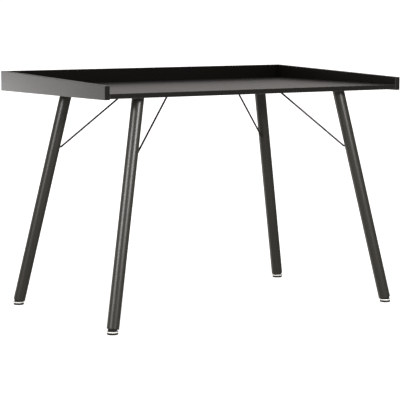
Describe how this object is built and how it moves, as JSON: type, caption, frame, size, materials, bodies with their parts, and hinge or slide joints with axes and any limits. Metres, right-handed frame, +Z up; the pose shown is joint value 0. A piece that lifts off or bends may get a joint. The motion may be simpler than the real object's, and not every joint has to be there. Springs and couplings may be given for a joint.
{
  "type": "writing desk with raised back and sides",
  "caption": "Black writing desk: board top with a tapering gallery round back and sides, on splayed round legs with rod braces and levelling glides.",
  "frame": {"origin": "on the floor, under the middle of the desk's width and depth", "axes": "+X to the right along the desk's width, seen from the sitter's side; +Y from the sitter towards the back rail; +Z up"},
  "size_m": [1.16, 0.7, 0.797],
  "materials": {
    "board_lacquer": "black satin lacquer on board, fine grain, eased edges a little lighter",
    "leg_coat": "satin black powder coat on steel tube, slightly warm",
    "dowel_beech": "raw fluted beech",
    "brace_steel": "black powder coat on round steel rod",
    "plate_steel": "black powder coat on flat steel",
    "zinc": "bright zinc plate",
    "stem_steel": "zinc-plated threaded steel",
    "nickel": "bright nickel plate",
    "black_plastic": "dark moulded plastic"
  },
  "bodies": {
    "root": {"tabletop": "board_lacquer", "back_rail": "board_lacquer", "side_panel_left": "board_lacquer", "side_panel_right": "board_lacquer", "side_dowel_left_1": "dowel_beech", "side_dowel_left_2": "dowel_beech", "corner_dowel_left": "dowel_beech", "side_dowel_right_1": "dowel_beech", "side_dowel_right_2": "dowel_beech", "corner_dowel_right": "dowel_beech", "back_dowel_1": "dowel_beech", "back_dowel_2": "dowel_beech", "leg_plate_front_left": "plate_steel", "plate_screw_front_left_1": "zinc", "plate_screw_front_left_2": "zinc", "plate_screw_front_left_3": "zinc", "brace_front_left": "brace_steel", "brace_screw_front_left": "zinc", "leg_front_left": "leg_coat", "leg_plug_front_left": "black_plastic", "plug_sleeve_front_left": "zinc", "leg_plate_front_right": "plate_steel", "plate_screw_front_right_1": "zinc", "plate_screw_front_right_2": "zinc", "plate_screw_front_right_3": "zinc", "brace_front_right": "brace_steel", "brace_screw_front_right": "zinc", "leg_front_right": "leg_coat", "leg_plug_front_right": "black_plastic", "plug_sleeve_front_right": "zinc", "leg_plate_back_left": "plate_steel", "plate_screw_back_left_1": "zinc", "plate_screw_back_left_2": "zinc", "plate_screw_back_left_3": "zinc", "brace_back_left": "brace_steel", "brace_screw_back_left": "zinc", "leg_back_left": "leg_coat", "leg_plug_back_left": "black_plastic", "plug_sleeve_back_left": "zinc", "leg_plate_back_right": "plate_steel", "plate_screw_back_right_1": "zinc", "plate_screw_back_right_2": "zinc", "plate_screw_back_right_3": "zinc", "brace_back_right": "brace_steel", "brace_screw_back_right": "zinc", "leg_back_right": "leg_coat", "leg_plug_back_right": "black_plastic", "plug_sleeve_back_right": "zinc"},
    "glide_stem_front_left": {"glide_stem_front_left": "stem_steel"},
    "glide_disc_front_left": {"glide_cup_front_left": "nickel", "glide_pad_front_left": "black_plastic"},
    "glide_stem_front_right": {"glide_stem_front_right": "stem_steel"},
    "glide_disc_front_right": {"glide_cup_front_right": "nickel", "glide_pad_front_right": "black_plastic"},
    "glide_stem_back_left": {"glide_stem_back_left": "stem_steel"},
    "glide_disc_back_left": {"glide_cup_back_left": "nickel", "glide_pad_back_left": "black_plastic"},
    "glide_stem_back_right": {"glide_stem_back_right": "stem_steel"},
    "glide_disc_back_right": {"glide_cup_back_right": "nickel", "glide_pad_back_right": "black_plastic"}
  },
  "joints": [
    {"name": "turn_front_left", "type": "hinge", "parent": "glide_stem_front_left", "child": "glide_disc_front_left", "pos_m": [-0.54557, -0.33017, 0.008], "axis": [0, 0, -1], "range_deg": [0, 2161]},
    {"name": "level_front_left", "type": "slide", "parent": "root", "child": "glide_stem_front_left", "axis": [0, 0, -1], "range_m": [0, 0.0075]},
    {"name": "turn_front_right", "type": "hinge", "parent": "glide_stem_front_right", "child": "glide_disc_front_right", "pos_m": [0.54557, -0.33017, 0.008], "axis": [0, 0, -1], "range_deg": [0, 2161]},
    {"name": "level_front_right", "type": "slide", "parent": "root", "child": "glide_stem_front_right", "axis": [0, 0, -1], "range_m": [0, 0.0075]},
    {"name": "turn_back_left", "type": "hinge", "parent": "glide_stem_back_left", "child": "glide_disc_back_left", "pos_m": [-0.54557, 0.30617, 0.008], "axis": [0, 0, -1], "range_deg": [0, 2161]},
    {"name": "level_back_left", "type": "slide", "parent": "root", "child": "glide_stem_back_left", "axis": [0, 0, -1], "range_m": [0, 0.0075]},
    {"name": "turn_back_right", "type": "hinge", "parent": "glide_stem_back_right", "child": "glide_disc_back_right", "pos_m": [0.54557, 0.30617, 0.008], "axis": [0, 0, -1], "range_deg": [0, 2161]},
    {"name": "level_back_right", "type": "slide", "parent": "root", "child": "glide_stem_back_right", "axis": [0, 0, -1], "range_m": [0, 0.0075]}
  ],
  "couplings": [
    {"joint": "turn_front_left", "follows": "level_front_left", "rad_per_m": 5026.5},
    {"joint": "turn_front_right", "follows": "level_front_right", "rad_per_m": 5026.5},
    {"joint": "turn_back_left", "follows": "level_back_left", "rad_per_m": 5026.5},
    {"joint": "turn_back_right", "follows": "level_back_right", "rad_per_m": 5026.5}
  ]
}
